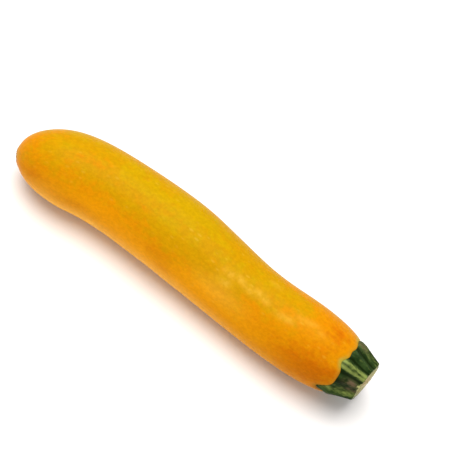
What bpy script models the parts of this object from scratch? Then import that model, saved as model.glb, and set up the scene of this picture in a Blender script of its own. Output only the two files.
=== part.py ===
"""Yellow zucchini lying on its side: a bent yellow fruit and the cut stub of its ridged green stem.

Metres, +Z up. +X runs from the blossom end to the stem, and the fruit bends sideways, in the ground
plane. The origin is at the middle of the object's box, on the ground that the fruit lies on.
"""

import math

import bmesh
import bpy
import numpy as np
from mathutils import Matrix, Vector

# Centreline: distances from the blossom tip, and the way it heads at each, in degrees from +X towards +Y
BEND = ((0.000, 23.7), (0.020, 24.1), (0.048, 3.3), (0.087, -4.6),
        (0.125, -8.4), (0.164, -3.0), (0.194, -3.4))
NECK = 0.1946               # distance from the tip to the neck, where the stem sits
FRUIT_LENGTH = 0.2012       # distance from the tip to the flesh's end, inside the stem's foot
TIP_DROOP = math.radians(20.0)  # slope of the centreline at the tip, which hangs towards the ground
DROOP_LENGTH = 0.042
TIP_ASIDE = 0.0051          # the blossom end is skewed: its tip sits this far to the side
TIP_DOWN = 0.0020           # and this far down
SKEW_LENGTH = 0.040
CENTRELINE_STEPS = 2000

# Girth: distances from the blossom tip, and the body's radius at each
GIRTH = ((0.020, 0.0207), (0.045, 0.0202), (0.070, 0.0206), (0.092, 0.0210),
         (0.115, 0.0201), (0.140, 0.0191), (0.165, 0.0193), (0.182, 0.0195))
BLOSSOM_DOME = 0.0430       # length of the rounded blossom end
BLOSSOM_POWER = 2.48
SHOULDER = 0.0384           # length over which the body rounds in to the stem
SHOULDER_POWER = 2.07
SHOULDER_SQUARENESS = 6.0

# How it lies: the belly touches at REST_AT, and both ends lift clear of the ground
REST_AT = 0.095
BELLY_LEVEL_TO = 0.165      # past here the centreline keeps its height, so the shoulder rises
LIFT = 0.00022              # the belly's rise over LIFT_REACH on either side of REST_AT
LIFT_REACH = 0.040
LIFT_POWER = 2.5
MOST_LIFT = 0.00105
REST_FLAT = 0.0005          # depth that the belly is pressed flat on the ground

# Blossom scar: a low corky rim round a dimple
SCAR_RADIUS = 0.0046
SCAR_WIDTH = 0.0017
SCAR_HEIGHT = 0.00035
SCAR_DIMPLE = 0.0005
SCAR_RINGS = (0.0014, 0.0026, 0.0037, 0.0047, 0.0057, 0.0068, 0.0080)   # radii of the mesh's rings on it
SCAR_EDGE = 0.0087          # radius past which the body's own rings go on

# Stem, in its own frame: heights are from the neck along the stem, angles are from straight up towards +Y
RIDGES_DEG = (-91.0, -24.0, 40.0, 115.0, 193.0)
RIDGE_SIZES = (1.35, 1.00, 1.20, 1.00, 1.10)
RIDGE_FEET = (0.0022, 0.0010, 0.0004, 0.0009, 0.0012)   # how far each ridge's foot flares out
RIDGE_SPREAD_DEG = 12.0
STRANDS_DEG = (-55.0, 3.0, 77.0, 154.0, 232.0)      # the weaker ribs, one between each two ridges
STRAND_SIZES = (1.0, 1.0, 0.8, 1.0, 0.9)
STRAND_FEET = (0.0000, 0.0005, 0.0003, 0.0000, 0.0002)
STRAND_SPREAD_DEG = 8.5
STEM_LENGTH = 0.0157
CUT_SLANT = 0.0015          # the cut is this much longer on the side that CUT_SLANT_DEG names
CUT_SLANT_DEG = 123.0
PANEL = ((0.0000, 0.0151), (0.0030, 0.0148), (0.0060, 0.0132), (0.0100, 0.0115), (0.0170, 0.0094))
RIDGE_RISE = ((0.0000, 0.0016), (0.0060, 0.0020), (0.0100, 0.0020), (0.0170, 0.0016))
STRAND_RISE = ((0.0000, 0.0003), (0.0060, 0.0008), (0.0170, 0.0009))
FOOT_RADIUS = 0.01475       # between the ridges, where the flesh bulges forward round the foot
FOOT_TO = 0.0060            # height at which the flared feet have run into the ridges
FOOT_LIP = 0.0010           # height of the foot's rounded edge
CUT_BEVEL = 0.0003
CUT_DISH = 0.0006           # the cut face sinks by this much in the middle
STEM_GAP = 0.0003           # between the stem's foot and the flesh that it sits on

# Flutes: the shoulder is drawn in under the ridges
FLUTE_DEPTH = 0.022         # as a share of the radius
FLUTE_SPREAD_DEG = 26.0
FLUTE_REACH = 0.055

FRUIT_SIDES = 48
FRUIT_RINGS = 66
STEM_SIDES = 72
STEM_RING_HEIGHTS = (0.0, 0.09, 0.21, 0.36, 0.52, 0.68, 0.84, 1.0)
FOOT_RINGS = (0.94, 0.88, 0.80, 0.68, 0.48, 0.24)
CUT_RINGS = (0.80, 0.45)

YELLOW_SKIN = (0.80, 0.38, 0.015, 1.0)
SKIN_ROUGHNESS = 0.35
GREEN_STEM = (0.075, 0.135, 0.030, 1.0)
STEM_ROUGHNESS = 0.55


def smooth_through(points, at):
    """A smooth curve through (place, value) points, read at the places given, and level past its ends."""
    places, values = np.array(points).T
    slopes = np.gradient(values, places)
    at = np.asarray(at, dtype=float)
    left = np.clip(np.searchsorted(places, at, side="right") - 1, 0, len(places) - 2)
    span = places[left + 1] - places[left]
    t = np.clip((at - places[left]) / span, 0.0, 1.0)
    start = (1 + 2 * t) * (1 - t) ** 2 * values[left] + t * (1 - t) ** 2 * span * slopes[left]
    end = t * t * (3 - 2 * t) * values[left + 1] + t * t * (t - 1) * span * slopes[left + 1]
    return start + end


def ribs(angle, places_deg, spread_deg, sizes):
    """The size given on each of the places round the stem, falling to 0 between them."""
    total = 0.0
    for place, size in zip(places_deg, sizes):
        off = (np.degrees(angle) - place + 180.0) % 360.0 - 180.0
        total = total + size * np.exp(-((off / spread_deg) ** 2))
    return total


def running_sum(slope, distance):
    """The integral of a slope along the distances, starting at 0."""
    steps = np.diff(distance) * 0.5 * (slope[1:] + slope[:-1])
    return np.concatenate([[0.0], np.cumsum(steps)])


def directions(forward):
    """Unit vectors forward, to the side and upward, from rows of forward vectors."""
    forward = forward / np.linalg.norm(forward, axis=1, keepdims=True)
    side = np.stack([-forward[:, 1], forward[:, 0], np.zeros(len(forward))], axis=1)
    side /= np.linalg.norm(side, axis=1, keepdims=True)
    return forward, side, np.cross(forward, side)


def centreline():
    """Distances along the centreline, the points there, and the forward vectors that the sections face."""
    distance = np.linspace(0.0, FRUIT_LENGTH, CENTRELINE_STEPS)
    heading = np.radians(smooth_through(BEND, distance))
    droop = TIP_DROOP * np.clip(1.0 - distance / DROOP_LENGTH, 0.0, 1.0) ** 2
    x = running_sum(np.cos(heading) * np.cos(droop), distance)
    y = running_sum(np.sin(heading) * np.cos(droop), distance)
    rise = running_sum(np.sin(droop), distance)
    body = smooth_through(GIRTH, np.clip(distance, GIRTH[0][0], BELLY_LEVEL_TO))
    lift = LIFT * (np.abs(distance - REST_AT) / LIFT_REACH) ** LIFT_POWER
    lift = np.where(distance < REST_AT, np.minimum(lift, MOST_LIFT), lift)
    points = np.stack([x, y, body - REST_FLAT + lift + rise - rise[-1]], axis=1)
    slopes = np.gradient(points, distance, axis=0)
    _, side, up = directions(slopes)
    skew = np.clip(1.0 - distance / SKEW_LENGTH, 0.0, 1.0)[:, None] ** 2
    return distance, points + skew * (TIP_ASIDE * side - TIP_DOWN * up), slopes


def frames_along(line, at):
    """The centreline's points at the distances given, with its forward, sideways and upward directions."""
    distance, points, slopes = line
    places = np.stack([np.interp(at, distance, points[:, k]) for k in range(3)], axis=1)
    forward = np.stack([np.interp(at, distance, slopes[:, k]) for k in range(3)], axis=1)
    return places, *directions(forward)


def body_radius(at):
    """The fruit's mean radius at a distance from the tip."""
    body = smooth_through(GIRTH, at)
    blossom = np.sqrt(1.0 - np.clip(1.0 - at / BLOSSOM_DOME, 0.0, 1.0) ** BLOSSOM_POWER)
    inward = np.clip(1.0 - (FRUIT_LENGTH - at) / SHOULDER, 0.0, 1.0)
    return body * blossom * (1.0 - inward ** SHOULDER_POWER) ** (1.0 / SHOULDER_SQUARENESS)


def tip_distance(radius):
    """The distance from the tip at which the blossom end has this radius."""
    return BLOSSOM_DOME * (1.0 - (1.0 - (radius / GIRTH[0][1]) ** 2) ** (1.0 / BLOSSOM_POWER))


def flute(angle):
    """The share by which the shoulder's radius differs from its mean, least under the ridges."""
    return FLUTE_DEPTH * (0.5 - ribs(angle, RIDGES_DEG, FLUTE_SPREAD_DEG, np.ones(len(RIDGES_DEG))))


def scar_relief(radius):
    """How far the blossom scar stands out of the dome at a radius from the tip."""
    rim = SCAR_HEIGHT * np.exp(-(((radius - SCAR_RADIUS) / SCAR_WIDTH) ** 2))
    return rim - SCAR_DIMPLE * np.exp(-((radius / SCAR_WIDTH) ** 2))


def shoulder_height(radius, angle):
    """The height over the neck at which the fruit's rounded end has this radius."""
    body = GIRTH[-1][1] * (1.0 + flute(angle))
    inward = (1.0 - np.clip(radius / body, 0.0, 1.0) ** SHOULDER_SQUARENESS) ** (1.0 / SHOULDER_POWER)
    return FRUIT_LENGTH - NECK - SHOULDER * (1.0 - inward)


def ring_faces(mesh, rings):
    """Quads between each two rings of vertices."""
    for ring, following in zip(rings, rings[1:]):
        for k in range(len(ring)):
            after = (k + 1) % len(ring)
            mesh.faces.new((ring[k], ring[after], following[after], following[k]))


def fan(mesh, ring, centre):
    """Triangles from a ring to one vertex."""
    for k in range(len(ring)):
        mesh.faces.new((ring[k], ring[(k + 1) % len(ring)], centre))


def lofted_mesh(name, rings, first_point, last_point):
    """A closed mesh through rings of points, closed to one point at each end, with its faces outward."""
    mesh = bmesh.new()
    loops = [[mesh.verts.new(point) for point in ring] for ring in rings]
    ring_faces(mesh, loops)
    fan(mesh, loops[0], mesh.verts.new(first_point))
    fan(mesh, loops[-1], mesh.verts.new(last_point))
    bmesh.ops.recalc_face_normals(mesh, faces=mesh.faces)
    data = bpy.data.meshes.new(name)
    mesh.to_mesh(data)
    mesh.free()
    data.shade_smooth()
    return data


def fruit_mesh(line):
    """The fruit's closed skin, in world axes, with its belly pressed flat at height 0."""
    body = FRUIT_LENGTH * (0.5 - 0.5 * np.cos(np.linspace(0.0, math.pi, FRUIT_RINGS + 1)[:-1]))
    at = np.concatenate([tip_distance(np.array(SCAR_RINGS)), body[body > tip_distance(SCAR_EDGE)]])
    places, forward, side, up = frames_along(line, at)
    angles = np.linspace(0.0, 2 * math.pi, FRUIT_SIDES, endpoint=False)
    radii = body_radius(at)
    fluted = np.clip(1.0 - (NECK - at) / FLUTE_REACH, 0.0, 1.0) ** 2
    rings = []
    for k, place in enumerate(places):
        radius = radii[k] * (1.0 + fluted[k] * flute(angles))
        outward = np.outer(np.cos(angles), up[k]) + np.outer(np.sin(angles), side[k])
        relief = scar_relief(radii[k]) if at[k] < BLOSSOM_DOME / 2 else 0.0
        ring = place + radius[:, None] * outward - relief * forward[k]
        ring[:, 2] = np.maximum(ring[:, 2], 0.0)
        rings.append(ring)
    ends, ways, _, _ = frames_along(line, np.array([0.0, FRUIT_LENGTH]))
    return lofted_mesh("fruit", rings, ends[0] - scar_relief(0.0) * ways[0], ends[1])


def stem_mesh():
    """The stem's closed solid in its own frame: +Z along the stem, +Y upward, +X sideways."""
    angles = np.linspace(0.0, 2 * math.pi, STEM_SIDES, endpoint=False)
    ridge = ribs(angles, RIDGES_DEG, RIDGE_SPREAD_DEG, RIDGE_SIZES)
    strand = ribs(angles, STRANDS_DEG, STRAND_SPREAD_DEG, STRAND_SIZES)
    feet = (ribs(angles, RIDGES_DEG, RIDGE_SPREAD_DEG, RIDGE_FEET)
            + ribs(angles, STRANDS_DEG, STRAND_SPREAD_DEG, STRAND_FEET))
    cut = STEM_LENGTH + CUT_SLANT * np.cos(angles - math.radians(CUT_SLANT_DEG))

    def outline(height):
        """The stem's radius round a ring of heights."""
        rise = ridge * smooth_through(RIDGE_RISE, height) + strand * smooth_through(STRAND_RISE, height)
        share = np.clip(height / FOOT_TO, 0.0, 1.0)
        return smooth_through(PANEL, height) + feet * (1.0 - share) + rise * share

    def ring_at(radius, height):
        """A ring of points from radii and heights."""
        return np.stack([radius * np.sin(angles), radius * np.cos(angles), height], axis=1)

    def underside(radius):
        """Heights just over the fruit's rounded end, clear of it by the gap."""
        step = 1e-5
        rise = shoulder_height(radius + step, angles) - shoulder_height(radius - step, angles)
        slope = rise / (2 * step)
        return shoulder_height(radius, angles) + STEM_GAP * np.sqrt(1.0 + slope ** 2)

    edge = FOOT_RADIUS + feet
    under = [ring_at(edge * share, underside(edge * share)) for share in reversed(FOOT_RINGS)]
    under.append(ring_at(edge, underside(edge)))
    sill = under[-1][:, 2]
    lip = sill + FOOT_LIP
    wall = [ring_at(outline(height), height)
            for height in (lip + share * (cut - CUT_BEVEL - lip) for share in STEM_RING_HEIGHTS)]
    rim = outline(cut)
    face = [ring_at(rim - CUT_BEVEL, cut)]
    face += [ring_at(rim * share, cut - CUT_DISH * (1.0 - share ** 2)) for share in CUT_RINGS]
    middle_under = (0.0, 0.0, float(underside(np.zeros(STEM_SIDES)).mean()))
    middle_of_cut = (0.0, 0.0, STEM_LENGTH - CUT_DISH)
    return lofted_mesh("stem", under + wall + face, middle_under, middle_of_cut)


def plain_material(name, colour, roughness):
    """A Principled material of one colour."""
    material = bpy.data.materials.new(name)
    material.use_nodes = True
    shader = material.node_tree.nodes["Principled BSDF"]
    shader.inputs["Base Color"].default_value = colour
    shader.inputs["Roughness"].default_value = roughness
    shader.inputs["Metallic"].default_value = 0.0
    return material


def add_object(name, data, parent, material):
    """An object for a mesh, under its parent."""
    thing = bpy.data.objects.new(name, data)
    bpy.context.scene.collection.objects.link(thing)
    thing.parent = parent
    data.materials.append(material)
    return thing


def box_of(things):
    """The lowest and highest corners of some objects in world axes."""
    bpy.context.view_layer.update()
    points = np.array([thing.matrix_world @ vertex.co for thing in things for vertex in thing.data.vertices])
    return points.min(axis=0), points.max(axis=0)


def main():
    """Clears the scene and makes the fruit and its stem."""
    for old in list(bpy.data.objects):
        bpy.data.objects.remove(old, do_unlink=True)

    whole = bpy.data.objects.new("zucchini", None)
    bpy.context.scene.collection.objects.link(whole)

    line = centreline()
    skin = plain_material("skin", YELLOW_SKIN, SKIN_ROUGHNESS)
    stem_green = plain_material("stem_green", GREEN_STEM, STEM_ROUGHNESS)
    fruit = add_object("fruit", fruit_mesh(line), whole, skin)
    stem = add_object("stem", stem_mesh(), whole, stem_green)

    neck, forward, side, up = (row[0] for row in frames_along(line, np.array([NECK])))
    stem.rotation_mode = "QUATERNION"
    stem.rotation_quaternion = Matrix(np.stack([side, up, forward], axis=1).tolist()).to_quaternion()
    stem.location = Vector(neck)

    low, high = box_of([fruit, stem])
    whole.location = (-(low[0] + high[0]) / 2, -(low[1] + high[1]) / 2, -low[2])


main()
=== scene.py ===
"""Looks of a yellow zucchini: its bent, waxy fruit and the cut stub of its ridged green stem.

Everything is in metres, in the row frame: +X runs from the blossom end to the stem, +Z is up, and the
fruit lies on the ground at height 0. Angles round a piece are 0 on top and grow towards +Y.
"""

import logging
import math
from collections.abc import Sequence
from dataclasses import dataclass
from enum import Enum

import bpy
import numpy as np
from mathutils import Matrix, Vector
from numpy.typing import NDArray


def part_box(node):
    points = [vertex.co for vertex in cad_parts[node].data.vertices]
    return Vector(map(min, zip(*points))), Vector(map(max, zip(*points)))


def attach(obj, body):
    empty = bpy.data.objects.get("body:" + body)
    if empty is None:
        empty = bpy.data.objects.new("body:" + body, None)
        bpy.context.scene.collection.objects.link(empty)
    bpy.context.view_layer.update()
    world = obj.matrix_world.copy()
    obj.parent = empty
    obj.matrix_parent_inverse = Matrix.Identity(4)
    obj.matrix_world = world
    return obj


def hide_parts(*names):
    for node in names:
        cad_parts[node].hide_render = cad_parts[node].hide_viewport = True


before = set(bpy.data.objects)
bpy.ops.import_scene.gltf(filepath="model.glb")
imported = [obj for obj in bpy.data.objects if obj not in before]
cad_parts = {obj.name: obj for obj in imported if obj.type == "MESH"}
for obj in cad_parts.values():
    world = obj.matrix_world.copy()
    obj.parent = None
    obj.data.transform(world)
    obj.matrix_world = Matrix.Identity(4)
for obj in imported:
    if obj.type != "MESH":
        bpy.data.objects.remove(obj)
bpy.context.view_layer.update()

BODY = "root"
LOG = logging.getLogger("zucchini")

Array = NDArray[np.float64]
Span = tuple[float, float]
Triple = tuple[float, float, float]
Colour = tuple[float, float, float, float]
Profile = tuple[Span, ...]
Socket = bpy.types.NodeSocket
Source = Socket | float | Triple | Colour

# A noise's values that a change runs over: the narrower they are, the crisper it looks.
SOFT: Span = (0.25, 0.75)
EVEN: Span = (0.30, 0.70)
CRISP: Span = (0.35, 0.65)

# The mix node's colour sockets, by number, because its other sockets have the same names.
MIX_UNDER = 6
MIX_OVER = 7
MIX_RESULT = 2


class Node(Enum):
    """The solids of the model, which the finished pieces stand for."""

    FRUIT = "fruit"
    STEM = "stem"


class Slot(Enum):
    """The material slots of the record."""

    SKIN = "skin"
    STEM_GREEN = "stem_green"


class Mark(Enum):
    """The values that a piece's points carry for its finish."""

    STRAIGHT = "straight"
    BLUSH = "blush"
    # a pale ground spot on the underside, and a painted reflection of the white floor along the lower rim
    BELLY_AND_REFLECTION = "belly_and_reflection"
    # painted light: a brighter orange laid on the lower side that faces the camera
    GLOW = "painted_glow"
    # pale specks of the skin, gathered as painted glints in the top's highlight band
    SPECK_AND_GLINT = "speck_and_glint"
    # painted highlight: short pale glints along the top's highlight band
    GLINT = "streak"
    SCAR = "scar"
    COLLAR = "collar"
    PALE = "pale"
    # painted shade: the dark crease at the stem's foot on the fruit, and the dark grooves of the stem
    PAINTED_SHADE = "groove_shade"
    DRY = "dry"
    CUT = "cut"
    SHARE = "share"
    # how far the cut face's green rim widens: torn rind, and painted shade at one side
    EDGE = "edge"


def smooth_through(points: Profile, at: Array | float) -> Array:
    """Reads a smooth curve through (place, value) points, level past its ends.

    Args:
        points: The curve's points, in order of their places.
        at: The places to read it at.

    Returns:
        The curve's values there.
    """
    places, values = np.array(points).T
    slopes = np.gradient(values, places)
    at = np.asarray(at, dtype=float)
    left = np.clip(np.searchsorted(places, at, side="right") - 1, 0, len(places) - 2)
    span = places[left + 1] - places[left]
    t = np.clip((at - places[left]) / span, 0.0, 1.0)
    start = (1 + 2 * t) * (1 - t) ** 2 * values[left] + t * (1 - t) ** 2 * span * slopes[left]
    end = t * t * (3 - 2 * t) * values[left + 1] + t * t * (t - 1) * span * slopes[left + 1]
    return start + end


def turn_between(angle: Array, place_deg: float) -> Array:
    """The turn from a place to each angle, in degrees from -180 to 180."""
    return (np.degrees(angle) - place_deg + 180.0) % 360.0 - 180.0


def ribs(angle: Array, places_deg: Sequence[float], spread_deg: float, sizes: Sequence[float]) -> Array:
    """Ribs round the stem, each of its own size on its place, falling to 0 between them.

    Args:
        angle: The angles to read them at, in radians.
        places_deg: The ribs' places, in degrees.
        spread_deg: How far each rib spreads to either side.
        sizes: The ribs' sizes.

    Returns:
        The ribs' rise at each angle.
    """
    bumps = (np.exp(-((turn_between(angle, place) / spread_deg) ** 2)) for place in places_deg)
    return sum(size * bump for size, bump in zip(sizes, bumps))


def step_between(value: Array, low: float, high: float) -> Array:
    """A smooth step, 0 below low and 1 above high."""
    t = np.clip((value - low) / (high - low), 0.0, 1.0)
    return t * t * (3.0 - 2.0 * t)


def soft_least(value: Array, limit: float, softness: float) -> Array:
    """The lesser of a value and a limit, rounded off where the two are nearer than the softness."""
    share = np.clip(0.5 + 0.5 * (limit - value) / softness, 0.0, 1.0)
    return limit + share * (value - limit) - softness * share * (1.0 - share)


def running_sum(slope: Array, distance: Array) -> Array:
    """The integral of a slope along the distances, starting at 0."""
    steps = np.diff(distance) * 0.5 * (slope[1:] + slope[:-1])
    return np.concatenate([[0.0], np.cumsum(steps)])


def directions(forward: Array) -> tuple[Array, Array, Array]:
    """Turns rows of forward vectors into rows of unit vectors.

    Args:
        forward: Vectors along the fruit, one a row.

    Returns:
        Unit vectors forward, to the side and upward.
    """
    forward = forward / np.linalg.norm(forward, axis=1, keepdims=True)
    side = np.stack([-forward[:, 1], forward[:, 0], np.zeros(len(forward))], axis=1)
    side /= np.linalg.norm(side, axis=1, keepdims=True)
    return forward, side, np.cross(forward, side)


@dataclass(frozen=True)
class Waves:
    """Faint unevenness: a seeded sum of long waves over a grid of distances and angles."""

    seed: int
    count: int
    height: float
    longest: float
    shortest: float
    most_turns: int

    def over(self, distance: Array, angle: Array) -> Array:
        """Reads the waves.

        Args:
            distance: Distances along the piece, in metres.
            angle: Angles round it, in radians, of a shape that goes with the distances.

        Returns:
            The rise in metres at each point.
        """
        draw = np.random.default_rng(self.seed)
        rise = np.zeros(np.broadcast(distance, angle).shape)
        for _ in range(self.count):
            length = draw.uniform(self.shortest, self.longest)
            turns = draw.integers(0, self.most_turns + 1)
            phases = draw.uniform(0.0, math.tau, 2)
            along = np.sin(math.tau * distance / length + phases[0])
            rise = rise + along * np.cos(turns * angle + phases[1])
        return self.height * rise / math.sqrt(self.count)


@dataclass(frozen=True)
class Spine:
    """The fruit's centreline, from the blossom tip to the stem, before it is centred on the origin."""

    bend: Profile = ((0.000, 23.7), (0.020, 24.1), (0.048, 3.3), (0.087, -4.6), (0.125, -8.4),
                     (0.164, -3.0), (0.194, -3.4))
    girth: Profile = ((0.010, 0.0207), (0.020, 0.0207), (0.045, 0.0202), (0.070, 0.0206),
                      (0.092, 0.0210), (0.115, 0.0201), (0.140, 0.0191), (0.165, 0.0193),
                      (0.182, 0.0195), (0.192, 0.0195))
    length: float = 0.2012
    neck: float = 0.1946
    tip_droop_deg: float = 20.0
    droop_length: float = 0.042
    tip_aside: float = 0.0051
    tip_down: float = 0.0020
    skew_length: float = 0.040
    rest_at: float = 0.095
    belly_level_to: float = 0.165
    belly_softness: float = 0.012
    lift: float = 0.00022
    lift_reach: float = 0.040
    lift_power: float = 2.5
    most_lift: float = 0.00105
    lift_softness: float = 0.0005
    rest_flat: float = 0.0005
    steps: int = 2000

    def line(self) -> tuple[Array, Array, Array]:
        """Works the centreline out.

        Returns:
            Distances from the tip, the points there, and the vectors that the sections face.
        """
        distance = np.linspace(0.0, self.length, self.steps)
        heading = np.radians(smooth_through(self.bend, distance))
        near_tip = np.clip(1.0 - distance / self.droop_length, 0.0, 1.0) ** 2
        droop = math.radians(self.tip_droop_deg) * near_tip
        x = running_sum(np.cos(heading) * np.cos(droop), distance)
        y = running_sum(np.sin(heading) * np.cos(droop), distance)
        rise = running_sum(np.sin(droop), distance)
        body = smooth_through(self.girth, soft_least(distance, self.belly_level_to, self.belly_softness))
        lift = self.lift * (np.abs(distance - self.rest_at) / self.lift_reach) ** self.lift_power
        capped = soft_least(lift, self.most_lift, self.lift_softness)
        lift = np.where(distance < self.rest_at, capped, lift)
        height = body - self.rest_flat + lift + rise - rise[-1]
        points = np.stack([x, y, height], axis=1)
        slopes = np.gradient(points, distance, axis=0)
        _, side, up = directions(slopes)
        skew = np.clip(1.0 - distance / self.skew_length, 0.0, 1.0)[:, None] ** 2
        return distance, points + skew * (self.tip_aside * side - self.tip_down * up), slopes

    def frames(self, at: Array) -> tuple[Array, Array, Array, Array]:
        """Reads the centreline.

        Args:
            at: Distances from the blossom tip.

        Returns:
            The points there, and unit vectors forward, to the side and upward.
        """
        distance, points, slopes = self.line()
        places = np.stack([np.interp(at, distance, points[:, k]) for k in range(3)], axis=1)
        forward = np.stack([np.interp(at, distance, slopes[:, k]) for k in range(3)], axis=1)
        return places, *directions(forward)


@dataclass(frozen=True)
class Cloud:
    """A cloudy pattern.

    Attributes:
        size: The width of its patches, in metres.
        along: How much quicker it changes along the piece than across it.
        detail: How many finer layers it has.
        roughness: How strong they are.
    """

    size: float
    along: float = 1.0
    detail: float = 3.0
    roughness: float = 0.6


class Shader:
    """A material's node tree, with a short method for each kind of node that the finishes use."""

    def __init__(self, name: str) -> None:
        """Starts a material.

        Args:
            name: The material's name.
        """
        self.material = bpy.data.materials.new(name)
        self.material.use_nodes = True
        self.tree = self.material.node_tree
        self.surface = self.tree.nodes["Principled BSDF"]
        self.places: dict[float, Socket] = {}

    def set(self, socket: str, value: float | Colour) -> None:
        """Gives one of the surface's sockets a value that is the same all over."""
        self.surface.inputs[socket].default_value = value

    def drive(self, socket: str, source: Socket) -> None:
        """Links a source to one of the surface's sockets."""
        self.tree.links.new(source, self.surface.inputs[socket])

    def node(self, kind: str, inputs: dict[str | int, Source], **settings: str) -> bpy.types.Node:
        """Adds a node.

        Args:
            kind: The node's type.
            inputs: Its inputs by name or number, each a value or another node's output.
            settings: Its own properties.

        Returns:
            The node.
        """
        made = self.tree.nodes.new(kind)
        for name, value in settings.items():
            setattr(made, name, value)
        for key, value in inputs.items():
            if isinstance(value, Socket):
                self.tree.links.new(value, made.inputs[key])
            else:
                made.inputs[key].default_value = value
        return made

    def mark(self, mark: Mark, output: str = "Fac") -> Socket:
        """The number that the mesh carries at each point, or the vector by that output's name."""
        return self.node("ShaderNodeAttribute", {}, attribute_name=mark.value).outputs[output]

    def place(self, along: float) -> Socket:
        """Places on the piece as if it were straight.

        Args:
            along: How much quicker a pattern changes along the piece than across it.

        Returns:
            The places, as a vector output.
        """
        if along not in self.places:
            inputs = {"Vector": self.mark(Mark.STRAIGHT, "Vector"), "Scale": (along, 1.0, 1.0)}
            self.places[along] = self.node("ShaderNodeMapping", inputs).outputs[0]
        return self.places[along]

    def noise(self, cloud: Cloud) -> Socket:
        """Draws a cloudy pattern.

        Args:
            cloud: The pattern.

        Returns:
            Values about 0.5.
        """
        inputs = {"Vector": self.place(cloud.along), "Scale": 1.0 / cloud.size}
        inputs |= {"Detail": cloud.detail, "Roughness": cloud.roughness}
        return self.node("ShaderNodeTexNoise", inputs).outputs["Fac"]

    def cells(self, size: float, along: float, output: str = "Distance") -> Socket:
        """A pattern of scattered cells, as the distance to each cell's middle or as its own colour."""
        inputs = {"Vector": self.place(along), "Scale": 1.0 / size, "Randomness": 1.0}
        return self.node("ShaderNodeTexVoronoi", inputs).outputs[output]

    def between(self, value: Source, over: Span, to: Span = (0.0, 1.0)) -> Socket:
        """A smooth step from one result to the other, while the value runs from one end to the other."""
        inputs = dict(enumerate((value, *over, *to)))
        return self.node("ShaderNodeMapRange", inputs, interpolation_type="SMOOTHSTEP").outputs["Result"]

    def maths(self, how: str, first: Source, second: Source) -> Socket:
        """Joins two numbers by a named operation."""
        return self.node("ShaderNodeMath", {0: first, 1: second}, operation=how).outputs[0]

    def product(self, first: Source, second: Source) -> Socket:
        """Multiplies two numbers."""
        return self.maths("MULTIPLY", first, second)

    def vary(self, value: Source, pattern: Socket, by: float, over: Span = EVEN) -> Socket:
        """Makes a value uneven: a pattern takes up to an amount off it and adds up to as much."""
        return self.maths("ADD", value, self.between(pattern, over, (-by, by)))

    def blend(self, share: Source, under: Source, over: Source, how: str = "MIX") -> Socket:
        """Lays one colour over another.

        Args:
            share: How much of the upper colour shows, from 0 to 1.
            under: The lower colour.
            over: The upper colour.
            how: The way that they mix.

        Returns:
            The mixed colour.
        """
        inputs = {"Factor": share, MIX_UNDER: under, MIX_OVER: over}
        return self.node("ShaderNodeMix", inputs, data_type="RGBA", blend_type=how).outputs[MIX_RESULT]

    def bump(self, height: Socket, depth: float, normal: Socket | None = None) -> Socket:
        """Fine relief.

        Args:
            height: A value from 0 to 1.
            depth: The relief's depth in metres at full height.
            normal: Coarser relief that it lies on.

        Returns:
            The bumped normal.
        """
        inputs = {"Height": height, "Strength": 1.0, "Distance": depth}
        if normal is not None:
            inputs["Normal"] = normal
        return self.node("ShaderNodeBump", inputs).outputs["Normal"]


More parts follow.
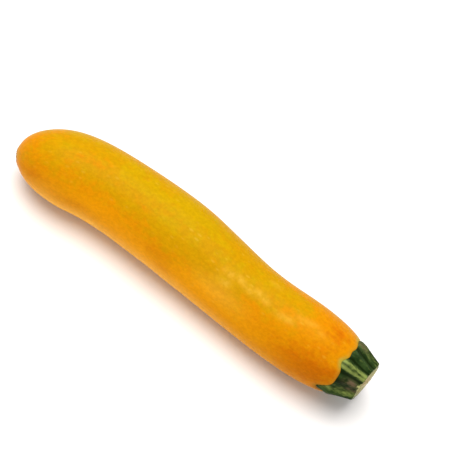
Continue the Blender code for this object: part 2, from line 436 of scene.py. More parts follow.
@dataclass(frozen=True)
class WaxySkin:
    """The yellow skin: smooth, waxy and softly mottled, with fine pale specks and shallow pits, and painted
    light and shade in its colour.
    """

    lemon: Colour = (0.470, 0.270, 0.0010, 1.0)
    yellow: Colour = (0.485, 0.240, 0.0010, 1.0)
    orange: Colour = (0.590, 0.212, 0.0010, 1.0)
    deep_orange: Colour = (0.520, 0.132, 0.0010, 1.0)
    # pale colour of the ground spot and of the painted floor reflection on the lower rim
    belly_and_reflection: Colour = (0.900, 0.440, 0.0500, 1.0)
    # the pale colour of the specks and of the painted glints
    speck_and_glint: Colour = (0.680, 0.380, 0.0300, 1.0)
    # painted light: the brighter orange that lightens the lower side
    painted_glow: Colour = (0.800, 0.310, 0.0010, 1.0)
    cork: Colour = (0.300, 0.170, 0.070, 1.0)
    old_cork: Colour = (0.130, 0.064, 0.028, 1.0)
    green: Colour = (0.390, 0.310, 0.035, 1.0)
    # painted shade: the dark crease where the stem's foot meets the flesh
    foot_shade: Colour = (0.060, 0.042, 0.004, 1.0)
    roughness: float = 0.30
    shine: float = 0.012
    bloom: float = 0.010
    bloom_roughness: float = 0.35
    mottle: Cloud = Cloud(0.012, along=0.6)
    mottle_by: float = 0.30
    cloud: Cloud = Cloud(0.0035)
    cloud_by: float = 0.20
    streak: Cloud = Cloud(0.0030, along=0.12, detail=2.0, roughness=0.5)
    streak_by: float = 0.10
    yellow_over: Span = (-0.5, 0.0)
    orange_over: Span = (0.0, 0.7)
    deep_orange_over: Span = (0.7, 1.6)
    fine: Cloud = Cloud(0.0016, along=0.7, roughness=0.7)
    fine_shades: Span = (0.92, 1.08)
    speck_size: float = 0.0020
    speck_along: float = 0.45
    speck_kinds: Span = (0.35, 1.0)
    speck_reach: float = 0.42
    speck_edge: float = 0.25
    speck_patch: Cloud = Cloud(0.009, along=0.45, detail=2.0, roughness=0.5)
    speck_patch_over: Span = (0.42, 0.66)
    speck_shares: Span = (0.05, 0.25)
    speck_marked: float = 0.35
    # painted highlight: how ragged the glints are
    glint_shares: Span = (0.25, 0.80)
    collar_shares: Span = (0.75, 1.25)
    grain: Cloud = Cloud(0.0009, detail=4.0, roughness=0.7)
    cork_by: float = 0.20
    cork_over: Span = (0.20, 0.80)
    old_cork_by: float = 0.30
    old_cork_over: Span = (0.30, 1.10)
    pits: Cloud = Cloud(0.0013, roughness=0.5)
    pit_depth: float = 0.00010

    def make(self) -> bpy.types.Material:
        """Builds the skin's material.

        Returns:
            The material.
        """
        shader = Shader("waxy_skin")
        cloud = shader.noise(self.cloud)
        colour = self.flesh(shader, cloud)
        colour = shader.blend(self.specks(shader), colour, self.speck_and_glint)
        # painted highlight: short pale glints
        ragged = shader.between(cloud, CRISP, self.glint_shares)
        colour = shader.blend(shader.product(shader.mark(Mark.GLINT), ragged), colour, self.speck_and_glint)
        uneven = shader.between(cloud, EVEN, self.collar_shares)
        colour = shader.blend(shader.product(shader.mark(Mark.COLLAR), uneven), colour, self.green)
        # painted shade: a dark line round the stem's foot, weakest under the ridges, and a dark patch under
        # the lowest ridge
        colour = shader.blend(shader.mark(Mark.PAINTED_SHADE), colour, self.foot_shade)
        grain = shader.noise(self.grain)
        scar = shader.vary(shader.mark(Mark.SCAR), grain, self.cork_by)
        colour = shader.blend(shader.between(scar, self.cork_over), colour, self.cork)
        dry = shader.vary(shader.mark(Mark.DRY), grain, self.old_cork_by)
        colour = shader.blend(shader.between(dry, self.old_cork_over), colour, self.old_cork)
        shader.drive("Base Color", colour)
        shader.drive("Normal", shader.bump(shader.noise(self.pits), self.pit_depth))
        shader.set("Roughness", self.roughness)
        shader.set("Specular IOR Level", self.shine)
        shader.set("Sheen Weight", self.bloom)
        shader.set("Sheen Roughness", self.bloom_roughness)
        return shader.material

    def flesh(self, shader: Shader, cloud: Socket) -> Socket:
        """The skin's colour: lemon to deep orange by its blush, finely mottled, with a painted glow that
        lightens the lower side and a pale belly that also holds a painted floor reflection.

        Args:
            shader: The material's nodes.
            cloud: The pattern of its middle-sized mottling.

        Returns:
            The colour.
        """
        blush = shader.vary(shader.mark(Mark.BLUSH), shader.noise(self.mottle), self.mottle_by, SOFT)
        blush = shader.vary(blush, cloud, self.cloud_by, SOFT)
        blush = shader.vary(blush, shader.noise(self.streak), self.streak_by, SOFT)
        colour = shader.blend(shader.between(blush, self.yellow_over), self.lemon, self.yellow)
        colour = shader.blend(shader.between(blush, self.orange_over), colour, self.orange)
        colour = shader.blend(shader.between(blush, self.deep_orange_over), colour, self.deep_orange)
        # painted light: a brighter lower side
        colour = shader.blend(shader.mark(Mark.GLOW), colour, self.painted_glow)
        # pale belly, and painted floor reflection on the lower rim
        colour = shader.blend(shader.mark(Mark.BELLY_AND_REFLECTION), colour, self.belly_and_reflection)
        shades = shader.between(shader.noise(self.fine), EVEN, self.fine_shades)
        return shader.blend(1.0, colour, shades, "MULTIPLY")

    def specks(self, shader: Shader) -> Socket:
        """Short pale specks of many sizes, strongest where the mesh's mark says so, which gathers them as
        painted glints along the top's highlight band.

        Args:
            shader: The material's nodes.

        Returns:
            How much of the specks' colour shows.
        """
        dot = shader.cells(self.speck_size, self.speck_along)
        own_colour = shader.cells(self.speck_size, self.speck_along, "Color")
        kind = shader.node("ShaderNodeSeparateColor", {0: own_colour}).outputs[0]
        reach = shader.between(kind, self.speck_kinds, (0.0, self.speck_reach))
        inside = shader.between(shader.maths("SUBTRACT", reach, dot), (0.0, self.speck_edge))
        patchy = shader.between(shader.noise(self.speck_patch), self.speck_patch_over, self.speck_shares)
        # the mark adds painted glints in the highlight band
        marked = shader.product(shader.mark(Mark.SPECK_AND_GLINT), self.speck_marked)
        return shader.product(inside, shader.maths("ADD", patchy, marked))


@dataclass(frozen=True)
class StemRind:
    """The stem's rind: dark green panels, paler fibrous ridges, painted shade in its grooves, a dry patch
    and the pale cut face.
    """

    dark: Colour = (0.007, 0.022, 0.003, 1.0)
    mid: Colour = (0.031, 0.061, 0.013, 1.0)
    pale: Colour = (0.215, 0.265, 0.062, 1.0)
    # painted shade: the near-black of the stem's grooves and of the crease at its foot
    groove_shade: Colour = (0.004, 0.011, 0.000, 1.0)
    dry: Colour = (0.125, 0.082, 0.045, 1.0)
    cut: Colour = (0.560, 0.520, 0.240, 1.0)
    cut_fibre: Colour = (0.300, 0.300, 0.090, 1.0)
    cut_bundle: Colour = (0.100, 0.130, 0.026, 1.0)
    cut_pith: Colour = (0.620, 0.520, 0.270, 1.0)
    cut_stain: Colour = (0.230, 0.130, 0.050, 1.0)
    roughness: float = 0.38
    shine: float = 0.05
    fibres: Cloud = Cloud(0.0008, along=0.10)
    fibre_over: Span = (0.50, 0.75)
    fibre_share: float = 0.35
    fibre_depth: float = 0.00018
    cloud: Cloud = Cloud(0.0030, along=0.5, roughness=0.5)
    mid_over: Span = (0.35, 0.70)
    pale_by: float = 0.25
    pale_over: Span = (0.10, 1.00)
    dry_over: Span = (0.30, 0.60)
    grain: Cloud = Cloud(0.0007, roughness=0.7)
    grain_depth: float = 0.00008
    cut_by: float = 0.25
    rays: Cloud = Cloud(0.0011, along=0.25)
    bundle_size: float = 0.0021
    bundle_along: float = 0.5
    bundle_over: Span = (0.48, 0.20)
    bundle_share: float = 0.85
    ring_inner: Span = (0.50, 0.66)
    ring_outer: Span = (0.86, 0.74)
    pith_over: Span = (0.46, 0.26)
    stain: Cloud = Cloud(0.0050, along=2.5)
    stain_over: Span = (0.50, 0.68)
    stain_share: float = 0.7
    stain_grain: Span = (0.2, 0.6)
    edge_by: float = 0.03
    edge_over: Span = (0.89, 1.00)
    torn_over: Span = (0.35, 0.60)
    torn_shares: Span = (0.2, 1.5)

    def make(self) -> bpy.types.Material:
        """Builds the rind's material.

        Returns:
            The material.
        """
        shader = Shader("stem_rind")
        fibres = shader.noise(self.fibres)
        cloud = shader.noise(self.cloud)
        colour = shader.blend(shader.between(cloud, self.mid_over), self.dark, self.mid)
        fibrous = shader.between(fibres, self.fibre_over, (0.0, self.fibre_share))
        colour = shader.blend(fibrous, colour, self.mid)
        pale = shader.vary(shader.mark(Mark.PALE), fibres, self.pale_by, SOFT)
        colour = shader.blend(shader.between(pale, self.pale_over), colour, self.pale)
        # painted shade in the grooves
        colour = shader.blend(shader.mark(Mark.PAINTED_SHADE), colour, self.groove_shade)
        dry = shader.product(shader.mark(Mark.DRY), shader.between(cloud, self.dry_over))
        colour = shader.blend(dry, colour, self.dry)
        grain = shader.noise(self.grain)
        bare = shader.vary(shader.mark(Mark.CUT), grain, self.cut_by)
        colour = shader.blend(shader.between(bare, CRISP), colour, self.cut_face(shader, grain))
        shader.drive("Base Color", colour)
        ridged = shader.bump(fibres, self.fibre_depth)
        shader.drive("Normal", shader.bump(grain, self.grain_depth, ridged))
        shader.set("Roughness", self.roughness)
        shader.set("Specular IOR Level", self.shine)
        return shader.material

    def cut_face(self, shader: Shader, grain: Socket) -> Socket:
        """The cut face's colour: a green edge, widened on one side as painted shade of the dished cut,
        fibres outward from a pale pith, and a ring of bundles.

        Args:
            shader: The material's nodes.
            grain: A fine pattern that breaks the colours up.

        Returns:
            The colour.
        """
        share = shader.mark(Mark.SHARE)
        rays = shader.noise(self.rays)
        face = shader.blend(shader.between(rays, CRISP), self.cut_fibre, self.cut)
        ring = shader.product(shader.between(share, self.ring_inner), shader.between(share, self.ring_outer))
        dot = shader.cells(self.bundle_size, self.bundle_along)
        bundle = shader.product(ring, shader.between(dot, self.bundle_over, (0.0, self.bundle_share)))
        face = shader.blend(bundle, face, self.cut_bundle)
        face = shader.blend(shader.between(share, self.pith_over), face, self.cut_pith)
        stain = shader.between(shader.noise(self.stain), self.stain_over, (0.0, self.stain_share))
        stained = shader.product(stain, shader.between(grain, self.stain_grain))
        face = shader.blend(stained, face, self.cut_stain)
        torn = shader.between(rays, self.torn_over, self.torn_shares)
        # torn rind and painted shade widen the green rim
        torn = shader.product(shader.mark(Mark.EDGE), torn)
        edge = shader.maths("ADD", shader.vary(share, grain, self.edge_by), torn)
        return shader.blend(shader.between(edge, self.edge_over), face, self.cut_bundle)


@dataclass(frozen=True)
class PaleFloor:
    """The plain white surface that the zucchini lies on."""

    colour: Colour = (0.905, 0.878, 0.862, 1.0)
    roughness: float = 0.7
    shine: float = 0.2

    def make(self) -> bpy.types.Material:
        """Builds the floor's material.

        Returns:
            The material.
        """
        shader = Shader("pale_floor")
        shader.set("Base Color", self.colour)
        shader.set("Roughness", self.roughness)
        shader.set("Specular IOR Level", self.shine)
        return shader.material


def lofted_mesh(name: str, rings: Array, first: Array, last: Array) -> bpy.types.Mesh:
    """Makes a closed mesh through rings of points.

    Args:
        name: The mesh's name.
        rings: The rings, by ring, place round it and axis, running forward and turning from up to the side.
        first: The point that closes the first ring.
        last: The point that closes the last ring.

    Returns:
        The mesh, with its faces outward and shaded smooth.
    """
    count, sides = rings.shape[:2]
    points = np.concatenate([rings.reshape(-1, 3), [first], [last]])
    here = np.arange(sides)
    after = (here + 1) % sides
    starts = sides * np.arange(count - 1)[:, None]
    corners = (starts + here, starts + sides + here, starts + sides + after, starts + after)
    faces = np.stack(corners, axis=-1).reshape(-1, 4).tolist()
    end = count * sides
    faces += [(end, int(a), int(b)) for a, b in zip(here, after)]
    faces += [(end + 1, int(end - sides + b), int(end - sides + a)) for a, b in zip(here, after)]
    mesh = bpy.data.meshes.new(name)
    mesh.from_pydata(points.tolist(), [], faces)
    mesh.validate()
    mesh.shade_smooth()
    return mesh


def carry(mesh: bpy.types.Mesh, mark: Mark, values: Array) -> None:
    """Stores a value or a vector at each of a mesh's points.

    Args:
        mesh: The mesh.
        mark: The name that the finish reads them by.
        values: A number or a vector for each point.
    """
    kind, key = ("FLOAT_VECTOR", "vector") if values.ndim == 2 else ("FLOAT", "value")
    attribute = mesh.attributes.new(mark.value, kind, "POINT")
    attribute.data.foreach_set(key, values.astype(np.float32).ravel())


def carry_marks(mesh: bpy.types.Mesh, shape: tuple[int, ...],
                marks: dict[Mark, tuple[Array, float, float]]) -> None:
    """Stores marks at the points of a lofted mesh.

    Args:
        mesh: The mesh.
        shape: How many rings it has, and how many points are in each.
        marks: Each mark's values over the rings, and at the points that close the first and last ring.
    """
    for mark, (values, first, last) in marks.items():
        carry(mesh, mark, np.append(np.broadcast_to(values, shape).ravel(), [first, last]))


def carry_straight(mesh: bpy.types.Mesh, along: Array, radius: Array, angle: Array, end: float) -> None:
    """Stores the places that a lofted mesh's points would have if the piece were straight.

    Args:
        mesh: The mesh.
        along: Distances along the piece.
        radius: Radii from its middle line.
        angle: Angles round it.
        end: The distance of the last ring's closing point, where the first ring's is at 0.
    """
    places = np.broadcast_arrays(along, radius * np.cos(angle), radius * np.sin(angle))
    ends = np.array([[0.0, 0.0, 0.0], [end, 0.0, 0.0]])
    carry(mesh, Mark.STRAIGHT, np.concatenate([np.stack(places, axis=-1).reshape(-1, 3), ends]))


def add_piece(mesh: bpy.types.Mesh, material: bpy.types.Material, node: Node) -> bpy.types.Object:
    """Puts a finished mesh in the scene in place of its solid.

    Args:
        mesh: The mesh, in the row frame.
        material: Its material.
        node: The solid that it stands for.

    Returns:
        The piece.
    """
    mesh.materials.append(material)
    piece = bpy.data.objects.new(mesh.name, mesh)
    bpy.context.scene.collection.objects.link(piece)
    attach(piece, BODY)
    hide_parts(node.value)
    LOG.info("%s: %d points, %d faces", piece.name, len(mesh.vertices), len(mesh.polygons))
    return piece


@dataclass(frozen=True)
class Patch:
    """A soft-edged patch on a piece.

    Attributes:
        at: How far along the piece its middle is, in metres.
        angle_deg: The angle of its middle round the piece.
        length: How far it fades out along the piece, in metres.
        spread_deg: How far it fades out round it.
        strength: Its strength in the middle, less than 0 where it takes away from other patches.
    """

    at: float
    angle_deg: float
    length: float
    spread_deg: float
    strength: float

    def over(self, at: Array, angle: Array) -> Array:
        """Reads the patch.

        Args:
            at: Distances along the piece.
            angle: Angles round it.

        Returns:
            The patch's strength at each point.
        """
        along = ((at - self.at) / self.length) ** 2
        around = (turn_between(angle, self.angle_deg) / self.spread_deg) ** 2
        return self.strength * np.exp(-along - around)


@dataclass(frozen=True)
class Streak:
    """A stripe up the stem, of one angle and one width, between two heights where it fades."""

    angle_deg: float
    spread_deg: float
    strength: float
    start: float = -0.006
    end: float = 0.030
    fade: float = 0.003

    def over(self, at: Array, angle: Array) -> Array:
        """Reads the stripe.

        Args:
            at: Heights up the stem.
            angle: Angles round it.

        Returns:
            The stripe's strength at each point.
        """
        around = np.exp(-((turn_between(angle, self.angle_deg) / self.spread_deg) ** 2))
        rising = step_between(at, self.start - self.fade, self.start)
        return self.strength * around * rising * (1.0 - step_between(at, self.end, self.end + self.fade))


def total(marks: Sequence[Patch | Streak], at: Array, angle: Array) -> Array:
    """The strengths of patches or stripes over a grid of distances and angles, added up."""
    return sum(mark.over(at, angle) for mark in marks)


@dataclass(frozen=True)
class Foot:
    """The outline of the stem's foot on the flesh, round the stem's axis."""

    ridges_deg: tuple[float, ...] = (-91.0, -24.0, 40.0, 115.0, 193.0)
    ridge_feet: tuple[float, ...] = (0.0022, 0.0010, 0.0004, 0.0009, 0.0012)
    ridge_spread_deg: float = 12.0
    strands_deg: tuple[float, ...] = (-55.0, 3.0, 77.0, 154.0, 232.0)
    strand_feet: tuple[float, ...] = (0.0000, 0.0005, 0.0003, 0.0000, 0.0002)
    strand_spread_deg: float = 8.5
    radius: float = 0.01475

    def flare(self, angle: Array) -> Array:
        """How far the foot flares out beyond its radius."""
        ridges = ribs(angle, self.ridges_deg, self.ridge_spread_deg, self.ridge_feet)
        return ridges + ribs(angle, self.strands_deg, self.strand_spread_deg, self.strand_feet)


@dataclass
class Fruit:
    """The yellow fruit: a bent body with a rounded blossom end, a corky scar and a fluted shoulder."""

    spine: Spine = Spine()
    foot: Foot = Foot()
    finish: WaxySkin = WaxySkin()
    blossom_dome: float = 0.0430
    blossom_power: float = 2.48
    shoulder: float = 0.0384
    shoulder_power: float = 2.07
    shoulder_squareness: float = 6.0
    flute_depth: float = 0.022
    flute_spread_deg: float = 26.0
    flute_reach: float = 0.055
    scar_radius: float = 0.0046
    scar_width: float = 0.0017
    scar_height: float = 0.00035
    scar_dimple: float = 0.0005
    scar_wrinkles: int = 17
    scar_wrinkle_height: float = 0.00010
    scar_wrinkle_sway: float = 2.0
    scar_wrinkle_sways: int = 3
    cork_edge: Span = (0.0046, 0.0066)
    old_cork_radius: float = 0.0019
    old_cork_ring: float = 0.0053
    old_cork_ring_width: float = 0.0006
    old_cork_ring_strength: float = 0.75
    old_cork_elsewhere: float = 0.25
    waves: Waves = Waves(seed=11, count=14, height=0.00012, longest=0.070, shortest=0.022, most_turns=4)
    waves_from_tip: Span = (0.004, 0.030)
    waves_from_neck: Span = (0.0, 0.020)
    blushes: tuple[Patch, ...] = (
        Patch(0.090, -100.0, 0.300, 48.0, 0.80),
        Patch(0.035, -58.0, 0.030, 42.0, 0.40),
        Patch(0.176, -58.0, 0.030, 38.0, 0.85),
        Patch(0.190, -50.0, 0.012, 30.0, 0.50),
        Patch(0.171, -68.0, 0.010, 14.0, 0.40),
        Patch(0.091, -65.0, 0.009, 10.0, 0.70),
        Patch(0.096, -82.0, 0.007, 7.0, 0.45),
        Patch(0.040, -76.0, 0.012, 5.0, 0.30),
        Patch(0.166, 14.0, 0.014, 20.0, -0.30),
        Patch(0.187, 12.0, 0.011, 20.0, 0.76),
        Patch(0.185, 70.0, 0.028, 95.0, 0.50),
        Patch(0.088, 0.0, 0.028, 30.0, -0.45),
        Patch(0.066, 2.0, 0.016, 16.0, -0.20),
        Patch(0.127, -62.0, 0.014, 16.0, -0.30),
        Patch(0.060, 120.0, 0.030, 40.0, 0.45),
        Patch(0.130, 165.0, 0.035, 45.0, 0.40),
        Patch(0.030, 180.0, 0.030, 60.0, 0.40),
        Patch(0.006, -10.0, 0.010, 60.0, 0.50),
    )
    # painted light: patches that lighten the lower side, taken back where darker blotches lie
    painted_glows: tuple[Patch, ...] = (
        Patch(0.000, -40.0, 0.006, 90.0, 0.35),
        Patch(0.045, -68.0, 0.030, 20.0, 0.75),
        Patch(0.085, -78.0, 0.025, 18.0, 0.55),
        Patch(0.125, -66.0, 0.027, 19.0, 0.78),
        Patch(0.160, -74.0, 0.018, 14.0, 0.40),
        Patch(0.100, -89.0, 0.065, 13.0, 0.42),
        Patch(0.091, -65.0, 0.009, 10.0, -0.38),
        Patch(0.096, -82.0, 0.007, 7.0, -0.45),
        Patch(0.040, -76.0, 0.012, 5.0, -0.25),
    )
    # where specks gather: the first three make painted glints in the top's highlight band
    speckles_and_glints: tuple[Patch, ...] = (
        Patch(0.135, -20.0, 0.018, 14.0, 0.8),
        Patch(0.168, -10.0, 0.012, 12.0, 0.5),
        Patch(0.100, -10.0, 0.040, 28.0, 0.25),
        Patch(0.090, 110.0, 0.040, 35.0, 0.5),
        Patch(0.150, 170.0, 0.030, 35.0, 0.5),
    )
    # painted highlight: short pale glints that break up the top's highlight, with a few round the back
    painted_glints: tuple[Patch, ...] = (
        Patch(0.1260, -33.0, 0.0041, 5.7, 0.85),
        Patch(0.1250, -20.0, 0.0036, 5.2, 0.77),
        Patch(0.1310, -15.0, 0.0036, 5.2, 0.85),
        Patch(0.1380, -19.0, 0.0041, 5.2, 0.68),
        Patch(0.1440, -13.0, 0.0036, 5.2, 0.77),
        Patch(0.1485, -17.0, 0.0026, 4.7, 0.59),
        Patch(0.1470, 15.0, 0.0031, 5.2, 0.59),
        Patch(0.1590, -21.0, 0.0036, 5.2, 0.77),
        Patch(0.1640, -18.0, 0.0026, 4.7, 0.51),
        Patch(0.1680, -6.0, 0.0036, 5.2, 0.48),
        Patch(0.1740, -4.0, 0.0036, 4.7, 0.42),
        Patch(0.1790, -9.0, 0.0026, 4.7, 0.30),
        Patch(0.0850, 112.0, 0.0041, 5.7, 0.68),
        Patch(0.0960, 104.0, 0.0036, 5.2, 0.59),
        Patch(0.1400, 160.0, 0.0041, 5.2, 0.68),
        Patch(0.1520, 171.0, 0.0036, 5.2, 0.59),
    )
    # a pale ground spot below, and a painted reflection of the floor along the lower rim
    bellies_and_reflections: tuple[Patch, ...] = (
        Patch(0.060, -132.0, 0.075, 34.0, 0.95),
        Patch(0.100, -116.0, 0.085, 9.0, 0.60),
        Patch(0.013, -90.0, 0.012, 22.0, 0.35),
        Patch(0.036, -104.0, 0.024, 14.0, 0.50),
        Patch(0.108, -97.0, 0.058, 12.0, 0.42),
        # painted highlight: a small bright glint on the lower rim
        Patch(0.053, -98.0, 0.0032, 3.0, 0.55),
        Patch(0.128, -52.0, 0.014, 14.0, 0.22),
        Patch(0.140, -136.0, 0.045, 26.0, 0.50),
    )
    # painted shade: a dark patch on the flesh under the lowest ridge's foot
    foot_shade_patches: tuple[Patch, ...] = (Patch(0.1930, -97.0, 0.0030, 12.0, 0.75),)
    collar_sizes: tuple[float, ...] = (0.1, 0.85, 0.7, 0.6, 0.6)
    collar_spread_deg: float = 13.0
    collar_least: float = 0.15
    collar_width: float = 0.0036
    foot_shade_strength: float = 1.05
    foot_shade_width: float = 0.0009
    line_core: float = 0.2
    dip: float = 0.00025
    dip_width: float = 0.0009
    sides: int = 232
    rings: int = 400

    def body_radius(self, at: Array) -> Array:
        """Works the body's mean radius out.

        Args:
            at: Distances from the tip.

        Returns:
            The radii there.
        """
        body = smooth_through(self.spine.girth, at)
        blossom = np.sqrt(1.0 - np.clip(1.0 - at / self.blossom_dome, 0.0, 1.0) ** self.blossom_power)
        inward = np.clip(1.0 - (self.spine.length - at) / self.shoulder, 0.0, 1.0)
        return body * blossom * (1.0 - inward ** self.shoulder_power) ** (1.0 / self.shoulder_squareness)

    def flute(self, angle: Array) -> Array:
        """The share by which the shoulder's radius differs from its mean, least under the ridges."""
        alike = [1.0] * len(self.foot.ridges_deg)
        return self.flute_depth * (0.5 - ribs(angle, self.foot.ridges_deg, self.flute_spread_deg, alike))

    def scar_relief(self, radius: Array, angle: Array) -> Array:
        """How far the blossom scar stands out of the dome.

        Args:
            radius: Radii from the tip.
            angle: Angles round it.

        Returns:
            The rise in metres: a wrinkled rim round a dimple.
        """
        rim = np.exp(-(((radius - self.scar_radius) / self.scar_width) ** 2))
        sway = self.scar_wrinkle_sway * np.sin(self.scar_wrinkle_sways * angle)
        height = self.scar_height + self.scar_wrinkle_height * np.cos(self.scar_wrinkles * angle + sway)
        return height * rim - self.scar_dimple * np.exp(-((radius / self.scar_width) ** 2))

    def shoulder_height(self, radius: Array, angle: Array) -> Array:
        """The height over the neck at which the rounded end has a radius.

        Args:
            radius: Radii from the stem's axis.
            angle: Angles round it.

        Returns:
            Heights along the stem's axis.
        """
        body = self.spine.girth[-1][1] * (1.0 + self.flute(angle))
        share = np.clip(radius / body, 0.0, 1.0)
        inward = (1.0 - share ** self.shoulder_squareness) ** (1.0 / self.shoulder_power)
        return self.spine.length - self.spine.neck - self.shoulder * (1.0 - inward)

    def from_foot(self, at: Array, radius: Array, angle: Array) -> Array:
        """Distances on the shoulder from the outline of the stem's foot, less than 0 inside it.

        Args:
            at: Distances from the tip.
            radius: The body's radii there.
            angle: Angles round it.

        Returns:
            The distances in metres.
        """
        edge = self.foot.radius + self.foot.flare(angle)
        along = self.spine.neck + self.shoulder_height(edge, angle) - at
        return np.hypot(along, radius - edge) * np.where(along < 0.0, -1.0, 1.0)

    def grid(self) -> tuple[Array, Array]:
        """Spreads the skin's points, with the rings closest together at both ends.

        Returns:
            Distances from the tip, as a column, and angles round the body, as a row.
        """
        share = 0.5 - 0.5 * np.cos(np.linspace(0.0, math.pi, self.rings + 2)[1:-1])
        angle = np.linspace(0.0, math.tau, self.sides, endpoint=False)
        return self.spine.length * share[:, None], angle[None, :]

    def rings_of_points(self, offset: Array) -> tuple[Array, Array, Array]:
        """Works out the skin's points.

        Args:
            offset: The move from the spine's own axes to the row frame.

        Returns:
            The rings, and the points that close the tip and the neck.
        """
        at, angle = self.grid()
        places, forward, side, up = self.spine.frames(at[:, 0])
        mean = self.body_radius(at)
        fluted = np.clip(1.0 - (self.spine.neck - at) / self.flute_reach, 0.0, 1.0) ** 2
        wavy = step_between(at, *self.waves_from_tip)
        wavy = wavy * step_between(self.spine.neck - at, *self.waves_from_neck)
        radius = mean * (1.0 + fluted * self.flute(angle)) + wavy * self.waves.over(at, angle)
        near_foot = np.exp(-((self.from_foot(at, radius, angle) / self.dip_width) ** 2))
        radius = radius - self.dip * near_foot
        outward = np.cos(angle)[..., None] * up[:, None, :] + np.sin(angle)[..., None] * side[:, None, :]
        relief = np.where(at < self.blossom_dome / 2, self.scar_relief(mean, angle), 0.0)
        points = places[:, None, :] + radius[..., None] * outward - relief[..., None] * forward[:, None, :]
        ends, ways, _, _ = self.spine.frames(np.array([0.0, self.spine.length]))
        tip = ends[0] - self.scar_relief(np.zeros(1), np.zeros(1)) * ways[0]
        points += offset
        points[..., 2] = np.maximum(points[..., 2], 0.0)
        return points, tip + offset, ends[1] + offset

    def offset(self) -> Array:
        """Works out the move that puts the fruit where its solid is, on the ground.

        Returns:
            The move, as a vector.
        """
        rings, _, _ = self.rings_of_points(np.zeros(3))
        low, high = (np.array(corner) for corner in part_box(Node.FRUIT.value))
        move = (low + high) / 2 - (rings.min(axis=(0, 1)) + rings.max(axis=(0, 1))) / 2
        return np.array([move[0], move[1], 0.0])

    def beside_foot(self, off: Array, width: float) -> Array:
        """A line along the foot's outline, full in its core and gone past its width."""
        return 1.0 - step_between(off, self.line_core * width, width)

    def dress(self, mesh: bpy.types.Mesh) -> None:
        """Stores what the finish reads at the skin's points.

        Args:
            mesh: The skin's mesh.
        """
        at, angle = self.grid()
        mean = self.body_radius(at)
        near_tip = at < self.blossom_dome / 2
        scar = np.where(near_tip, 1.0 - step_between(mean, *self.cork_edge), 0.0)
        old_ring = np.exp(-(((mean - self.old_cork_ring) / self.old_cork_ring_width) ** 2))
        old = np.exp(-((mean / self.old_cork_radius) ** 2)) + self.old_cork_ring_strength * old_ring
        old = np.where(near_tip, old + self.old_cork_elsewhere * scar, 0.0)
        off = self.from_foot(at, mean * (1.0 + self.flute(angle)), angle)
        on_ridge = ribs(angle, self.foot.ridges_deg, self.collar_spread_deg, self.collar_sizes)
        on_ridge = self.collar_least + on_ridge
        # painted shade along the foot's outline, weaker where the pale collar is
        foot_shade = (self.foot_shade_strength - on_ridge) * self.beside_foot(off, self.foot_shade_width)
        carry_marks(mesh, (self.rings, self.sides), {
            Mark.BLUSH: (total(self.blushes, at, angle), 0.0, 0.0),
            Mark.BELLY_AND_REFLECTION: (total(self.bellies_and_reflections, at, angle), 0.0, 0.0),
            Mark.GLOW: (total(self.painted_glows, at, angle), 0.0, 0.0),
            Mark.SPECK_AND_GLINT: (total(self.speckles_and_glints, at, angle), 0.0, 0.0),
            Mark.GLINT: (total(self.painted_glints, at, angle), 0.0, 0.0),
            Mark.PAINTED_SHADE: (np.maximum(foot_shade, total(self.foot_shade_patches, at, angle)), 0.0, 0.0),
            Mark.SCAR: (scar, 1.0, 0.0),
            Mark.DRY: (old, 1.0, 0.0),
            Mark.COLLAR: (on_ridge * self.beside_foot(off, self.collar_width), 0.0, 1.0),
        })
        carry_straight(mesh, at, mean, angle, self.spine.length)

    def build(self) -> bpy.types.Object:
        """Makes the fruit and dresses it.

        Returns:
            The piece.
        """
        mesh = lofted_mesh("fruit_skin", *self.rings_of_points(self.offset()))
        self.dress(mesh)
        return add_piece(mesh, self.finish.make(), Node.FRUIT)


@dataclass(frozen=True)
class StemRings:
    """The stem's rings of points, from under its foot, up its wall and inward over the cut face.

    Attributes:
        radius: Radii from the stem's axis, by ring and angle.
        height: Heights along it, by ring and angle.
        share: Each ring's share of the way from the cut face's middle to its rim, 1 below the rim.
        on_face: How far each ring belongs to the cut face, from 0 to 1.
    """

    radius: Array
    height: Array
    share: Array
    on_face: Array


